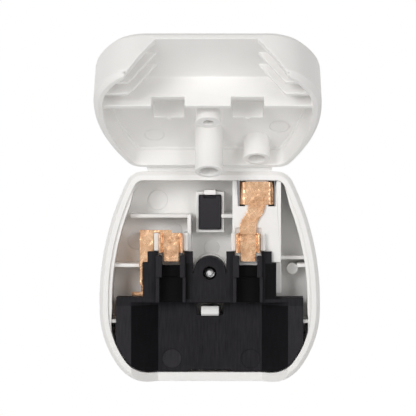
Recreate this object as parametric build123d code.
from build123d import *
import math
import os

# Europlug to UK plug converter, with its lid open.
# It is modelled lying on its pin face: x to the right, v up towards the earth
# pin, h from the pin face towards the lid. The last step stands it upright as
# it sits in a wall socket: Z is v, and the pins point along +Y.
# The origin is the earth pin's axis on the pin face. Sizes are in millimetres.

# Housing outline, as seen from the lid
half_width = 26.5
hinge_end = 10.0
cable_end = -41.0
widest_high = -21.0
widest_low = -23.0
hinge_corner_radius = 4.5
side_radius = 65.0
shoulder_radius = 23.7
foot_radius = 10.0

# Housing walls
base_height = 14.0
base_floor = 2.0
wall = 2.1
outer_draft = 0.45
inner_draft = 0.45
bevel_width = 0.9
bevel_height = 1.3
pin_face_bevel = 0.8

# Ribs, posts and pads of the base
rib = 0.9
root = 0.5
low_rib_top = 8.4
long_rib_v = -1.35
long_rib_end = -19.2
long_rib_turn = -5.4
long_rib_foot = -19.0
short_rib_end = 6.0
side_rib_v = -12.7
side_rib_top = 11.0
side_rib_right = 21.0
fuse_rib_v = -11.0
fuse_rib_top = 7.0
floor_pad_height = 0.25
floor_pads = ((-12.8, 2.75, 2.4), (-8.6, -4.6, 1.7), (0.3, -8.8, 1.8), (-18.0, -7.2, 2.0))
side_boss_x = 19.9
side_boss_v = -13.7
side_boss_radius = 1.4
side_boss_top = 5.5
tray_rest_places = (-35.0, -26.5)
tray_rest_gap = 0.15

# Lid
lid_open_angle = 117.0
lid_seat_gap = 0.1
lid_depth = 8.7
lid_depth_at_hinge = 4.4
lid_plate = 2.0
lid_edge_bevel = 1.0
lid_ledge = 0.45
lid_knee = -20.0
lid_knee_round = 60.0
lid_rib = 1.2
lid_rib_setback = 1.0
lid_rib_places = (-34.0, -28.2)
lid_wall_front = -21.8
lid_wall = 1.4
lid_notch_half = 3.85
lid_notch_depth = 2.4
lid_tab_half = 3.6
lid_tab_front = -11.5
lid_tab = 1.1
lid_tab_gap = 0.3
lid_nub_radius = 0.7
lid_nub_set = 0.3
lid_mark_radius = 2.3
lid_mark_depth = 0.2
lid_marks = ((-13.1, 2.3), (16.7, -1.1))

# Bosses that hang from the lid
boss_gap = 0.35
boss_root = 0.8
earth_boss_radius = 3.3
earth_boss_bore = 2.15
earth_boss_depth = 6.0
screw_post_radius = 2.95
screw_post_bore = 1.15
screw_post_depth = 7.0
fuse_boss_v = 4.2
fuse_boss_radius = 3.15
fuse_boss_bore = 2.0
fuse_boss_depth = 3.0

# Film hinge between the two shells
hinge_outset = 0.4
web_half_width = 14.6
web_flare = 0.7
web_thickness = 0.6

# Europlug that lies in the tray: axis of its pins and half-hexagon pocket
euro_axis_height = 15.0
euro_pin_radius = 2.0
euro_pin_half_spacing = 9.25
euro_body_half_thickness = 6.85
euro_body_gap = 0.1
pocket_half_rim = 18.9
pocket_half_floor = 12.5
pocket_half_crown = 11.8

# Black contact carrier
carrier_sheet = 1.5
carrier_gap = 0.3
partition_front = -21.5
partition = 1.2
block_half_outer = 16.0
block_half_inner = 4.0
block_high = -11.9
block_underside = 11.4
flange_high = -9.2
cheek_high = -10.3
flange_half_outer = 14.9
flange_gap = 0.35
bridge_depth = 3.0
channel_gap = 0.1
channel_half_wide = 2.75
channel_wide_drop = 0.3
channel_high = -12.6
channel_step = -15.4
tower_radius = 3.9
tower_bore_radius = 1.6
tray_mark_radius = 2.3
tray_mark_depth = 0.1
tray_marks = ((-8.3, -34.4), (10.0, -34.4))
tray_notch_half = 5.0
tray_notch_depth = 0.5

# Latch that holds the carrier down through its slot
latch_slot_half = 3.2
latch_slot_low = -24.7
latch_slot_high = -21.9
latch_half = 2.15
latch_thickness = 1.9
latch_hook = 0.35
latch_rise = 1.0
latch_gap = 0.05
latch_side_gap = 0.2

# Contact strip
strip = 0.7
strip_gap = 0.1
clip_high = -4.8
clip_arm_low = -9.5
clip_low = -11.7
clip_lip_half = 1.85
clip_grip_gap = 0.1
clip_arm_top = 16.5
clip_seat_gap = 0.3
post_thickness = 1.1
post_gap = 0.15
post_low = -9.0
post_top = 14.6
neck_half = 2.0
neck_drop = 1.1
neck_lap = 0.4
leg_low = -17.4
foot_high = -16.0
tongue_reach = 2.2
tongue_high = -18.7
tongue_width = 1.2
rivet_pad_half = 3.0

# Fuse and its compartment
fuse_x = 11.3
fuse_axis_height = 6.6
fuse_length = 25.4
fuse_cap_radius = 3.175
fuse_cap_length = 5.6
fuse_cap_wall = 0.3
fuse_body_gap = 0.02
fuse_high = 6.85
fuse_block_half = 5.85
fuse_well_half = 4.45
fuse_roof_underside = 10.6
fuse_roof_top = 12.9
fuse_roof_step = -11.9
fuse_roof_low_top = 11.3
fuse_clip_gap = 0.225
fuse_clip_bend = 1.3
fuse_clip_slot_gap = 0.4
fuse_clip_high = 7.5
fuse_clip_low = 2.0
fuse_clip_reach = 5.0
fuse_clip_end_gap = 0.35
fuse_leg_half = 2.8
fuse_leg_room = 1.0
drawer_gap = 0.15
drawer_plate = 1.8
drawer_stop = 0.7
drawer_stop_half = 2.6
drawer_stop_top = 7.6
saddle_places = (-1.5, -10.5)
saddle = 1.6
saddle_rise = 1.0
saddle_gap = 0.1
fuse_end_gap = 0.05
groove_half = 1.2
groove_depth = 0.8

# Pins
earth_pin_width = 4.0
earth_pin_height = 8.0
earth_pin_length = 22.7
earth_head_half_width = 2.6
earth_head_half_height = 4.1
earth_head_top = 8.2
earth_frame_gap = 0.1
earth_frame_wall = 0.7
earth_frame_top = 4.2
earth_hook_half = 1.4
earth_hook_length = 1.2
earth_hook_rise = 0.2
earth_notch_depth = 0.7
earth_notch_drop = 1.2
power_pin_width = 6.35
power_pin_height = 4.0
power_pin_length = 17.7
power_pin_half_spacing = 11.1
power_pin_row = -22.2
power_head_half_width = 4.2
power_head = 1.2
pin_tip = 0.9
pin_hole_gap = 0.05
sleeve_length = 9.5
sleeve_wall = 0.4
rivet_radius = 1.2
rivet_head_radius = 1.9
rivet_head = 0.6

# Cover screw
screw_v = -14.4
screw_head_radius = 2.7
screw_head = 2.0
screw_radius = 1.45
screw_seat = 3.5
screw_boss_top = 5.5
screw_boss_radius = 4.2
screw_recess_radius = 3.1
screw_hole_radius = 1.6
screw_tip = 13.4
screw_tip_radius = 0.7
screw_point = 1.1
screw_slot = 0.8

# How far a cutting shape runs past what it cuts, and a length past everything
past = 1.0
far = 80.0

# Heights and places that follow from the sizes above
rim = base_height
lid_rim = rim + lid_seat_gap
lid_inner = lid_rim + lid_depth
lid_inner_at_hinge = lid_rim + lid_depth_at_hinge
hinge_inner = hinge_end - wall
crown_angle = math.atan((lid_inner - lid_inner_at_hinge) / (hinge_inner - lid_knee))
axis_v = hinge_end + hinge_outset
axis_h = rim + lid_seat_gap / 2
hinge_axis = Axis((0, axis_v, axis_h), (-1, 0, 0))
rib_foot = base_floor - root
tray_floor = euro_axis_height - euro_body_half_thickness - euro_body_gap
tray_underside = tray_floor - carrier_sheet
flat_underside = rim - carrier_sheet
channel_floor = euro_axis_height - euro_pin_radius - channel_gap / 2
partition_back = partition_front + partition
side_rib_left = block_half_outer + strip + 2 * strip_gap
clip_floor = euro_axis_height - euro_pin_radius - clip_grip_gap / 2
clip_underside = clip_floor - strip
clip_inner_half = euro_pin_radius + clip_grip_gap
clip_outer_half = clip_inner_half + strip
clip_seat_half = clip_outer_half + clip_seat_gap
neck_low = clip_high + neck_drop
fuse_low = fuse_high - fuse_length
drawer_high = fuse_high + drawer_stop
drawer_low = fuse_low - drawer_stop
well_high = drawer_high + drawer_gap
well_low = drawer_low - drawer_gap
grip_inner = fuse_cap_radius + fuse_clip_gap
grip_outer = grip_inner + strip
power_head_top = base_floor + power_head


def block(x1, x2, v1, v2, h1, h2):
    """A plain block between two corners."""
    sizes = (x2 - x1, v2 - v1, h2 - h1)
    middle = ((x1 + x2) / 2, (v1 + v2) / 2, (h1 + h2) / 2)
    return Pos(*middle) * Box(*sizes)


def centred_block(x, v, half_x, half_v, low, high):
    """A block round an upright axis, between two heights."""
    return block(x - half_x, x + half_x, v - half_v, v + half_v, low, high)


def side_block(side, x1, x2, v1, v2, h1, h2):
    """A block given for the live side, or its mirror image."""
    low, high = sorted((side * x1, side * x2))
    return block(low, high, v1, v2, h1, h2)


def post(x, v, radius, low, high):
    """A round post that stands between two heights."""
    return Pos(x, v, (low + high) / 2) * Cylinder(radius, high - low)


def plate(points, low, high):
    """A flat plate with the given corners, between two heights."""
    face = Pos(0, 0, low) * make_face(Polyline(*points, close=True))
    return extrude(face, high - low)


def across(points, x1, x2):
    """A bar along x with the section given as (v, h) points."""
    section = make_face(Polyline(*points, close=True))
    return extrude(Plane.YZ.offset(x1) * section, x2 - x1)


def along(points, v1, v2):
    """A bar along v with the section given as (x, h) points."""
    corners = [(x, v1, h) for x, h in points]
    return extrude(make_face(Polyline(*corners, close=True)), v2 - v1, dir=(0, 1, 0))


def mirrored(half):
    """The (x, h) points of the right half, followed by the left half's."""
    return half + [(-x, h) for x, h in reversed(half)]


def both_sides(make):
    """The same feature on the neutral side and the live side."""
    return make(-1) + make(1)


def one_solid(shape):
    """The single solid of a finished piece."""
    solids = shape.solids()
    if len(solids) != 1:
        raise ValueError(f"{len(solids)} solids where one was meant")
    return solids[0]


def outline(grow):
    """The housing outline, grown outwards, as a face at height zero."""
    side = Vector(half_width - side_radius, widest_high)
    rise = hinge_end - hinge_corner_radius - widest_high
    reach = math.sqrt((side_radius - hinge_corner_radius) ** 2 - rise**2)
    corner = Vector(side.X + reach, widest_high + rise)
    turn = math.degrees(math.atan2(rise, reach))
    shoulder = Vector(half_width - shoulder_radius, widest_low)
    drop = widest_low - (cable_end + foot_radius)
    reach = math.sqrt((shoulder_radius - foot_radius) ** 2 - drop**2)
    foot = Vector(shoulder.X + reach, widest_low - drop)
    dip = math.degrees(math.atan2(drop, reach))
    x = half_width + grow
    top = hinge_end + grow
    bottom = cable_end - grow
    with BuildSketch() as sketch:
        with BuildLine():
            Line((0, top), (corner.X, top))
            CenterArc(corner, hinge_corner_radius + grow, turn, 90 - turn)
            CenterArc(side, side_radius + grow, 0, turn)
            Line((x, widest_high), (x, widest_low))
            CenterArc(shoulder, shoulder_radius + grow, -dip, dip)
            CenterArc(foot, foot_radius + grow, -90, 90 - dip)
            Line((foot.X, bottom), (0, bottom))
            mirror(about=Plane.YZ)
        make_face()
    return sketch.sketch


def drafted(low, grow_low, high, grow_high):
    """A solid on the outline that widens or narrows between two heights."""
    sections = [Pos(0, 0, low) * outline(grow_low), Pos(0, 0, high) * outline(grow_high)]
    return loft(sections, ruled=True)


def inside_walls():
    """Everything within the middle of the base walls."""
    return drafted(0, -wall / 2, rim, -wall / 2)


# White base shell


def base_tub():
    bevel_start = rim - bevel_height
    body = drafted(0, -outer_draft, bevel_start, 0)
    body += drafted(bevel_start, 0, rim, -bevel_width)
    body = chamfer(body.faces().sort_by(Axis.Z)[0].edges(), pin_face_bevel)
    return body - drafted(base_floor, -wall - inner_draft, rim + past, -wall)


def cable_cutout():
    """The lower half of the Europlug's way in, through the end wall."""
    half = [(pocket_half_rim, rim + past), (pocket_half_rim, rim), (pocket_half_floor, tray_floor)]
    return along(mirrored(half), cable_end - past, cable_end + 2 * wall)


def fuse_housing():
    """Box over the fuse, open to the pin face and towards the live pin."""
    left = fuse_x - fuse_block_half
    right = fuse_x + fuse_block_half
    box = block(left, right, fuse_roof_step, hinge_end - wall / 2, base_floor, fuse_roof_top)
    box += block(left, right, well_low, fuse_roof_step, base_floor, fuse_roof_low_top)
    return box & inside_walls()


def fuse_well():
    """Room in the housing for the drawer, the fuse and the contacts' legs."""
    left = fuse_x - fuse_well_half
    right = fuse_x + fuse_well_half
    well = block(left, right, well_low, well_high, -past, fuse_roof_underside)
    well += block(left, right, well_low - fuse_leg_room, well_low, base_floor, fuse_roof_underside)
    slot_inner = grip_outer - fuse_clip_bend
    slot_outer = grip_outer + fuse_clip_slot_gap
    for side in (-1, 1):
        well += centred_block(
            fuse_x + side * (slot_inner + slot_outer) / 2,
            (fuse_clip_low + fuse_clip_high) / 2,
            (slot_outer - slot_inner) / 2,
            (fuse_clip_high - fuse_clip_low) / 2 + fuse_clip_slot_gap,
            fuse_roof_underside - past,
            fuse_roof_top + past,
        )
    left = euro_pin_half_spacing - clip_seat_half
    right = euro_pin_half_spacing + clip_seat_half
    well += block(left, right, fuse_roof_step - past, neck_low + strip_gap,
                  clip_underside, fuse_roof_top + past)
    return well


def contact_posts(side):
    """Pair of posts that hold a contact clip from both sides."""
    foot = fuse_roof_underside + past if side > 0 else rib_foot
    centre = side * euro_pin_half_spacing
    offset = clip_outer_half + post_gap + post_thickness / 2
    middle = (post_low + clip_high) / 2
    half_v = (clip_high - post_low) / 2
    pair = [
        centred_block(centre + hand * offset, middle, post_thickness / 2, half_v, foot, post_top)
        for hand in (-1, 1)
    ]
    return pair[0] + pair[1]


def earth_frame():
    """Low frame round the earth pin's head, with the hook that keeps it in."""
    x = earth_head_half_width + earth_frame_gap
    v = earth_head_half_height + earth_frame_gap
    wide = x + earth_frame_wall
    high = v + earth_frame_wall
    ring = centred_block(0, 0, wide, high, rib_foot, earth_frame_top)
    ring -= centred_block(0, 0, x, v, rib_foot, earth_frame_top + past)
    hook_top = earth_head_top + earth_hook_rise
    ring += block(-earth_hook_half, earth_hook_half, v, v + earth_hook_length, rib_foot, hook_top)
    return ring


def floor_ribs():
    turn = long_rib_turn
    ribs = block(long_rib_end, turn, long_rib_v, long_rib_v + rib, rib_foot, low_rib_top)
    ribs += block(turn, turn + rib, long_rib_foot, long_rib_v + rib, rib_foot, block_underside)
    ribs += block(earth_head_half_width, short_rib_end, long_rib_v, long_rib_v + rib,
                  rib_foot, low_rib_top)
    ribs -= centred_block(0, 0, earth_head_half_width + earth_frame_gap, earth_head_half_height,
                          0, low_rib_top + past)
    for side, start in ((-1, side_rib_left), (1, side_rib_right)):
        ribs += side_block(side, start, half_width, side_rib_v - rib / 2, side_rib_v + rib / 2,
                           rib_foot, side_rib_top)
    ribs += block(fuse_x + fuse_block_half - root, half_width, fuse_rib_v - rib / 2,
                  fuse_rib_v + rib / 2, rib_foot, fuse_rib_top)
    return ribs & inside_walls()


def tray_rests():
    """Ribs under the side flats of the black carrier."""
    start = pocket_half_rim + tray_lean + tray_rest_gap
    rest = Part()
    for v in tray_rest_places:
        for side in (-1, 1):
            rest += side_block(side, start, half_width, v, v + rib, rib_foot, flat_underside)
    return rest & inside_walls()


def floor_details():
    """Ejector pads and a small boss on the base floor."""
    pads = post(side_boss_x, side_boss_v, side_boss_radius, rib_foot, side_boss_top)
    for x, v, radius in floor_pads:
        pads += post(x, v, radius, rib_foot, base_floor + floor_pad_height)
    return pads


def latch():
    """Hook that holds the black carrier down through its slot."""
    v1 = latch_slot_low + latch_side_gap
    v2 = v1 + latch_thickness
    top = tray_floor + latch_rise
    under = tray_floor + latch_gap
    hook = block(-latch_half, latch_half, v1, v2, rib_foot, top)
    shoulder = v1 + latch_thickness / 2
    lip = [(shoulder, under), (latch_slot_low - latch_hook, under), (v1, top), (shoulder, top)]
    return hook + across(lip, -latch_half, latch_half)


def base_shell():
    shell = base_tub() - cable_cutout()
    shell += fuse_housing()
    shell += post(0, screw_v, screw_boss_radius, rib_foot, screw_boss_top)
    shell += both_sides(contact_posts)
    shell += earth_frame()
    shell += floor_ribs()
    shell += tray_rests()
    shell += floor_details()
    shell += latch()
    shell -= fuse_well()
    shell -= post(0, screw_v, screw_recess_radius, -past, screw_seat)
    shell -= post(0, screw_v, screw_hole_radius, screw_seat - past, screw_boss_top + past)
    shell -= centred_block(0, 0, earth_pin_width / 2 + pin_hole_gap,
                           earth_pin_height / 2 + pin_hole_gap, -past, base_floor + past)
    for side in (-1, 1):
        shell -= centred_block(
            side * power_pin_half_spacing,
            power_pin_row,
            power_pin_width / 2 + pin_hole_gap,
            power_pin_height / 2 + pin_hole_gap,
            -past,
            base_floor + past,
        )
    return shell


# White lid shell, made closed and then swung open


def crown(grow):
    """Everything under the lid's crown, which bends down to the hinge end."""
    flat = lid_inner + grow
    low = lid_inner_at_hinge + grow / math.cos(crown_angle)
    slope = math.tan(crown_angle)
    knee = hinge_inner - (flat - low) / slope
    beyond = hinge_end + wall
    beyond_h = low - (beyond - hinge_inner) * slope
    points = [(-far, 0), (-far, flat), (knee, flat), (beyond, beyond_h), (beyond, 0)]
    section = make_face(Polyline(*points, close=True))
    bend = section.vertices().sort_by_distance((knee, flat, 0))[0]
    section = fillet(bend, lid_knee_round + grow)
    return extrude(Plane.YZ.offset(-far) * section, 2 * far)


def crown_height(v):
    """Height of the lid's inner face at a place along v."""
    return min(lid_inner, lid_inner_at_hinge + (hinge_inner - v) * math.tan(crown_angle))


def inside_crown(edge):
    """True for an edge between the crown's flat, bend and slope."""
    middle = edge @ 0.5
    return abs(middle.X) < wall and cable_end + wall < middle.Y < hinge_inner


def lid_body():
    bevel_end = lid_rim + bevel_height
    top = lid_inner + lid_plate
    body = drafted(lid_rim, -bevel_width, bevel_end, 0)
    body += drafted(bevel_end, 0, top + past, -outer_draft)
    body &= crown(lid_plate)
    tops = body.faces().filter_by(lambda face: face.normal_at().Z > 0.9)
    edges = tops.edges().filter_by(lambda edge: not inside_crown(edge))
    return chamfer(edges, lid_edge_bevel)


def lid_hollow():
    """The lid's inside, with a small ledge where the walls meet the crown."""
    ledge = -wall - lid_ledge
    wide = drafted(lid_rim - past, -wall, lid_inner, -wall - inner_draft)
    deep = drafted(lid_rim - past, ledge, lid_inner, ledge - inner_draft)
    return (wide & crown(-lid_ledge)) + (deep & crown(0))


def lid_pocket(v1, v2):
    """The upper half of the Europlug's outline, as a bar along v."""
    half = [
        (pocket_half_rim, lid_rim - past),
        (pocket_half_rim, lid_rim),
        (pocket_half_crown, lid_inner),
    ]
    return along(mirrored(half), v1, v2)


def lid_cross_wall(front, thickness):
    """A wall across the lid, set back from its rim."""
    room = drafted(lid_rim, -wall / 2, lid_inner + root, -wall / 2) & crown(lid_plate / 2)
    bar = block(-far, far, front, front + thickness, lid_rim + lid_rib_setback, far)
    return room & bar


def lid_ribs():
    """Two ribs that stop on the Europlug's outline."""
    ribs = [lid_cross_wall(front, lid_rib) for front in lid_rib_places]
    return (ribs[0] + ribs[1]) - lid_pocket(-far, lid_wall_front)


def lid_partition():
    """The wall behind the Europlug's body, notched over its pins."""
    barrier = lid_cross_wall(lid_wall_front, lid_wall)
    low = lid_rim + lid_rib_setback
    for side in (-1, 1):
        barrier -= centred_block(
            side * euro_pin_half_spacing,
            lid_wall_front + lid_wall / 2,
            lid_notch_half,
            lid_wall,
            low - past,
            low + lid_notch_depth,
        )
    return barrier


def pin_tab(side):
    """Tab that keeps a Europlug pin down in its clip, with a small nub."""
    centre = side * euro_pin_half_spacing
    low = euro_axis_height + euro_pin_radius + lid_tab_gap
    high = crown_height(lid_tab_front) + root
    middle = lid_tab_front + lid_tab / 2
    tab = centred_block(centre, middle, lid_tab_half, lid_tab / 2, low, high)
    nub = Pos(centre, middle, low + lid_nub_set) * Rot(90, 0, 0)
    return tab + nub * Cylinder(lid_nub_radius, lid_tab)


def with_boss(shell, x, v, radius, bore, depth, rests_on):
    """The lid with a round boss that ends just above what it holds down."""
    end = rests_on + boss_gap
    shell += post(x, v, radius, end, crown_height(v) + boss_root)
    return shell - post(x, v, bore, end - past, end + depth)


def lid_shell():
    shell = lid_body() - lid_hollow()
    shell -= lid_pocket(cable_end - past, cable_end + 2 * wall)
    shell += lid_ribs()
    shell += lid_partition()
    shell += both_sides(pin_tab)
    shell = with_boss(shell, 0, 0, earth_boss_radius, earth_boss_bore, earth_boss_depth,
                      earth_head_top)
    shell = with_boss(shell, 0, screw_v, screw_post_radius, screw_post_bore, screw_post_depth, rim)
    shell = with_boss(shell, fuse_x, fuse_boss_v, fuse_boss_radius, fuse_boss_bore,
                      fuse_boss_depth, fuse_roof_top + strip)
    tilt = Rot(-math.degrees(crown_angle), 0, 0)
    for x, v in lid_marks:
        disc = tilt * Cylinder(lid_mark_radius, 2 * lid_mark_depth)
        shell -= Pos(x, v, crown_height(v)) * disc
    return shell.rotate(hinge_axis, lid_open_angle)


# Film hinge, in the shape it takes with the lid open


def swung(v, h):
    """A point of the closed lid, as (v, h), after the lid is open."""
    angle = math.radians(lid_open_angle)
    s = axis_v - v
    g = h - axis_h
    return (axis_v - s * math.cos(angle) + g * math.sin(angle),
            axis_h + s * math.sin(angle) + g * math.cos(angle))


def hinge_web():
    """A thin strap from shell to shell, a little wider at the lid."""
    base_edge = rim - bevel_height
    lid_edge = lid_rim + bevel_height
    section = [
        (hinge_end, base_edge),
        swung(hinge_end, lid_edge),
        swung(hinge_end, lid_edge + web_thickness),
        (hinge_end, base_edge - web_thickness),
    ]
    top = section[2][0]
    wide = web_half_width + web_flare
    ends = [(-web_half_width, hinge_end), (web_half_width, hinge_end), (wide, top), (-wide, top)]
    return across(section, -wide, wide) & plate(ends, 0, far)


# Black contact carrier

tray_slope = math.atan((rim - tray_floor) / (pocket_half_rim - pocket_half_floor))
tray_lean = carrier_sheet * math.tan(tray_slope / 2)


def carrier_tray():
    """Bent sheet with the Europlug's half-hexagon and two side flats."""
    half = [
        (half_width, rim),
        (pocket_half_rim, rim),
        (pocket_half_floor, tray_floor),
    ]
    under = [
        (pocket_half_floor + tray_lean, tray_underside),
        (pocket_half_rim + tray_lean, flat_underside),
        (half_width, flat_underside),
    ]
    left = [(-x, h) for x, h in reversed(half)]
    left_under = [(-x, h) for x, h in reversed(under)]
    tray = along(half + left + left_under + under, -far, partition_back)
    barrier = block(-far, far, partition_front, partition_back, tray_underside, rim)
    room = drafted(0, -wall - inner_draft - carrier_gap, rim, -wall - carrier_gap)
    tray = (tray + barrier) & room
    for x, v in tray_marks:
        tray -= post(x, v, tray_mark_radius, tray_floor - tray_mark_depth, rim)
    edge = cable_end + wall + carrier_gap + tray_notch_depth
    return tray - block(-tray_notch_half, tray_notch_half, cable_end, edge, 0, rim)


def contact_block(side):
    """Block round a Europlug pin, with flanges beside the clip and cheeks beside its lip."""
    inner, outer = block_half_inner, block_half_outer
    body = side_block(side, inner, outer, partition_back - root, block_high, block_underside, rim)
    reach = clip_outer_half + flange_gap
    foot = fuse_roof_top + latch_gap
    body += side_block(side, euro_pin_half_spacing - reach, euro_pin_half_spacing + reach,
                       block_high, cheek_high, foot, rim)
    for x1, x2 in (
        (inner, euro_pin_half_spacing - reach),
        (euro_pin_half_spacing + reach, flange_half_outer),
    ):
        body += side_block(side, x1, x2, block_high, flange_high, foot, rim)
    return body


def pin_channel(side):
    """Groove for a pin, wider near the partition and at the clip."""
    x = side * euro_pin_half_spacing
    half = euro_pin_radius + channel_gap
    groove = block(x - half, x + half, channel_step, 0, channel_floor, far)
    groove += block(x - channel_half_wide, x + channel_half_wide, partition_front - past,
                    channel_step, channel_floor - channel_wide_drop, far)
    lip = clip_lip_half + clip_seat_gap
    groove += block(x - lip, x + lip, channel_high, 0, block_underside - past, far)
    return groove + block(x - clip_seat_half, x + clip_seat_half, clip_arm_low - clip_seat_gap, 0,
                          block_underside - past, far)


def contact_carrier():
    bridge_half = block_half_inner + root
    body = carrier_tray()
    body += both_sides(contact_block)
    body += block(-bridge_half, bridge_half, partition_back - root, screw_v,
                  rim - bridge_depth, rim)
    body += post(0, screw_v, tower_radius, screw_boss_top, rim)
    body -= post(0, screw_v, tower_bore_radius, 0, rim + past)
    body -= both_sides(pin_channel)
    return body - block(-latch_slot_half, latch_slot_half, latch_slot_low, latch_slot_high,
                        0, tray_floor + past)


# Pins and sleeves


def blade(width, height, length):
    """A flat pin with a bevelled tip, from its tip up to the pin face."""
    body = Pos(0, 0, -length / 2) * Box(width, height, length)
    return chamfer(body.faces().sort_by(Axis.Z)[0].edges(), pin_tip)


def earth_pin():
    """Plastic earth pin, which only opens the socket's shutters."""
    half_v = earth_head_half_height
    pin = blade(earth_pin_width, earth_pin_height, earth_pin_length)
    pin += centred_block(0, 0, earth_pin_width / 2, earth_pin_height / 2, -past, base_floor)
    pin += centred_block(0, 0, earth_head_half_width, half_v, base_floor, earth_head_top)
    notch_half = earth_hook_half + earth_frame_gap
    return pin - block(-notch_half, notch_half, half_v - earth_notch_depth, half_v + past,
                       earth_head_top - earth_notch_drop, earth_head_top + past)


def sleeve_bore(low, high):
    """The space inside a pin's sleeve, between two heights."""
    half_x = power_pin_width / 2 - sleeve_wall
    half_v = power_pin_height / 2 - sleeve_wall
    return centred_block(0, 0, half_x, half_v, low, high)


def power_pin(side):
    """Brass pin with a waist for its sleeve and a rivet for its contact."""
    x = power_pin_width / 2
    v = power_pin_height / 2
    waist = centred_block(0, 0, far, far, -sleeve_length, 0) - sleeve_bore(-sleeve_length, 0)
    pin = blade(power_pin_width, power_pin_height, power_pin_length) - waist
    pin += centred_block(0, 0, x, v, 0, base_floor)
    pin += centred_block(0, 0, power_head_half_width, v, base_floor, power_head_top)
    foot_top = power_head_top + strip
    pin += post(0, 0, rivet_radius, power_head_top - root, foot_top)
    pin += post(0, 0, rivet_head_radius, foot_top, foot_top + rivet_head)
    return Pos(side * power_pin_half_spacing, power_pin_row, 0) * pin


def pin_sleeve(side):
    sleeve = centred_block(0, 0, power_pin_width / 2, power_pin_height / 2, -sleeve_length, 0)
    sleeve -= sleeve_bore(-sleeve_length - past, past)
    return Pos(side * power_pin_half_spacing, power_pin_row, 0) * sleeve


# Copper contacts


def pin_clip(side):
    """U-shaped clip that grips a Europlug pin, with a lip that runs on under it."""
    half = [
        (clip_outer_half, clip_underside),
        (clip_outer_half, clip_arm_top),
        (clip_inner_half, clip_arm_top),
        (clip_inner_half, clip_floor),
    ]
    centre = side * euro_pin_half_spacing
    shape = Pos(centre, 0, 0) * along(mirrored(half), clip_arm_low, clip_high)
    lower = shape.edges().filter_by(Axis.Y).group_by(Axis.Z)[0]
    return fillet(lower, strip) + block(centre - clip_lip_half, centre + clip_lip_half,
                                        clip_low, clip_arm_low, clip_underside, clip_floor)


def contact_neck():
    """The strip that swerves from the fuse clip down to the pin clip."""
    top = fuse_clip_low
    middle = (top + neck_low) / 2
    sides = []
    for hand in (-1, 1):
        x_top = fuse_x + hand * neck_half
        x_low = euro_pin_half_spacing + hand * neck_half
        sides.append(Bezier((x_top, top), (x_top, middle), (x_low, middle), (x_low, neck_low)))
    left, right = sides
    face = make_face([left, Line(left @ 1, right @ 1), right, Line(left @ 0, right @ 0)])
    return extrude(Pos(0, 0, fuse_roof_top) * face, strip)


def live_contact():
    contact = pin_clip(1)
    low = fuse_roof_top
    high = low + strip
    clip = block(fuse_x - grip_outer, fuse_x + grip_outer, fuse_clip_low, fuse_clip_high,
                 fuse_clip_reach, high)
    clip = fillet(clip.edges().filter_by(Axis.Y).group_by(Axis.Z)[-1], fuse_clip_bend)
    inside = block(fuse_x - grip_inner, fuse_x + grip_inner, fuse_clip_low - past,
                   fuse_clip_high + past, 0, low)
    clip -= fillet(inside.edges().filter_by(Axis.Y).group_by(Axis.Z)[-1], fuse_clip_bend - strip)
    x = euro_pin_half_spacing
    step = block(x - neck_half, x + neck_half, clip_high - neck_lap, neck_low,
                 clip_underside, high)
    return contact + clip + contact_neck() + step


def neutral_contact():
    contact = pin_clip(-1)
    left = -block_half_outer - strip_gap - strip
    high = clip_high + strip
    contact += block(left, -euro_pin_half_spacing, clip_high, high, clip_underside, clip_floor)
    face_right = -euro_pin_half_spacing - clip_outer_half - 2 * post_gap - post_thickness
    contact += block(left, face_right, block_high + strip_gap / 2, high,
                     clip_underside, clip_floor)
    contact += block(left, left + strip, leg_low, clip_high, power_head_top, clip_floor)
    foot_top = power_head_top + strip
    foot = block(left, -power_pin_half_spacing + rivet_pad_half, power_pin_row - rivet_pad_half,
                 foot_high, power_head_top, foot_top)
    foot += block(left - tongue_reach, left + strip, tongue_high - tongue_width, tongue_high,
                  power_head_top, foot_top)
    foot -= post(-power_pin_half_spacing, power_pin_row, rivet_radius, 0, foot_top + past)
    return contact + foot


def live_fuse_clip():
    """Clip on the fuse's lower cap, riveted to the live pin."""
    high = fuse_low + fuse_cap_length - fuse_clip_end_gap
    low = fuse_low + fuse_clip_end_gap
    top = fuse_roof_underside - strip_gap
    clip = block(fuse_x - grip_outer, fuse_x + grip_outer, low, high, fuse_clip_reach, top)
    clip -= block(fuse_x - grip_inner, fuse_x + grip_inner, low - past, high + past,
                  0, top - strip)
    left = fuse_x - fuse_leg_half
    right = fuse_x + fuse_leg_half
    leg_back = well_low - strip
    clip += block(left, right, leg_back, low + strip_gap, top - strip, top)
    clip += block(left, right, leg_back, well_low, power_head_top, top)
    clip += block(left, right, power_pin_row - rivet_pad_half, well_low,
                  power_head_top, power_head_top + strip)
    return clip - post(power_pin_half_spacing, power_pin_row, rivet_radius, 0, top)


# Fuse and its drawer


def fuse_rod(radius, v1, v2):
    """A round bar along the fuse's axis."""
    bar = Rot(90, 0, 0) * Cylinder(radius, v2 - v1)
    return Pos(fuse_x, (v1 + v2) / 2, fuse_axis_height) * bar


def fuse_body():
    inset = fuse_cap_wall + fuse_body_gap
    return fuse_rod(fuse_cap_radius - inset, fuse_low + inset, fuse_high - inset)


def fuse_cap(v1, v2, open_v1, open_v2):
    """Metal cup on one end of the fuse, hollow between two places."""
    cup = fuse_rod(fuse_cap_radius, v1, v2)
    return cup - fuse_rod(fuse_cap_radius - fuse_cap_wall, open_v1, open_v2)


def fuse_cap_upper():
    start = fuse_high - fuse_cap_length
    return fuse_cap(start, fuse_high, start - past, fuse_high - fuse_cap_wall)


def fuse_cap_lower():
    end = fuse_low + fuse_cap_length
    return fuse_cap(fuse_low, end, fuse_low + fuse_cap_wall, end + past)


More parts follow.
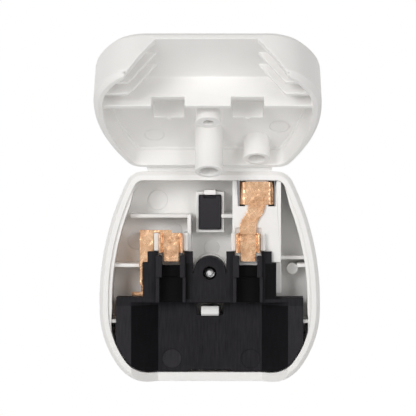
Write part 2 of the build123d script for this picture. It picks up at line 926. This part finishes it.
def fuse_drawer():
    """Tray that slides out of the pin face with the fuse in it."""
    half = fuse_well_half - drawer_gap
    left = fuse_x - half
    right = fuse_x + half
    drawer = block(left, right, drawer_low, drawer_high, 0, drawer_plate)
    for v1, v2 in ((drawer_low, fuse_low - fuse_end_gap), (fuse_high + fuse_end_gap, drawer_high)):
        drawer += block(fuse_x - drawer_stop_half, fuse_x + drawer_stop_half, v1, v2,
                        0, drawer_stop_top)
    for v in saddle_places:
        drawer += block(left, right, v - saddle / 2, v + saddle / 2,
                        0, fuse_axis_height + saddle_rise)
    drawer -= fuse_rod(fuse_cap_radius + saddle_gap, fuse_low - fuse_end_gap / 2,
                       fuse_high + fuse_end_gap / 2)
    return drawer - block(fuse_x - groove_half, fuse_x + groove_half, drawer_low - past,
                          drawer_low + groove_half, -past, groove_depth)


# Cover screw, backed off while the lid is open


def cover_screw():
    head_low = screw_seat - screw_head
    head = post(0, screw_v, screw_head_radius, head_low, screw_seat)
    shank = post(0, screw_v, screw_radius, screw_seat, screw_tip - screw_point)
    point = Pos(0, screw_v, screw_tip - screw_point / 2)
    tip = point * Cone(screw_radius, screw_tip_radius, screw_point)
    slot = block(-far, far, screw_v - screw_slot / 2, screw_v + screw_slot / 2,
                 0, head_low + screw_slot)
    return head + shank + tip - slot


pieces = {
    "base_shell": base_shell(),
    "lid_shell": lid_shell(),
    "hinge_web": hinge_web(),
    "contact_carrier": contact_carrier(),
    "earth_pin": earth_pin(),
    "live_pin": power_pin(1),
    "neutral_pin": power_pin(-1),
    "live_pin_sleeve": pin_sleeve(1),
    "neutral_pin_sleeve": pin_sleeve(-1),
    "live_contact": live_contact(),
    "neutral_contact": neutral_contact(),
    "live_fuse_clip": live_fuse_clip(),
    "fuse_body": fuse_body(),
    "fuse_cap_upper": fuse_cap_upper(),
    "fuse_cap_lower": fuse_cap_lower(),
    "fuse_drawer": fuse_drawer(),
    "cover_screw": cover_screw(),
}

os.makedirs("parts", exist_ok=True)
for name, shape in pieces.items():
    solid = one_solid(shape)
    print(name, "valid" if solid.is_valid else "NOT VALID")
    export_step(Plane.XZ.location * solid, f"parts/{name}.step")
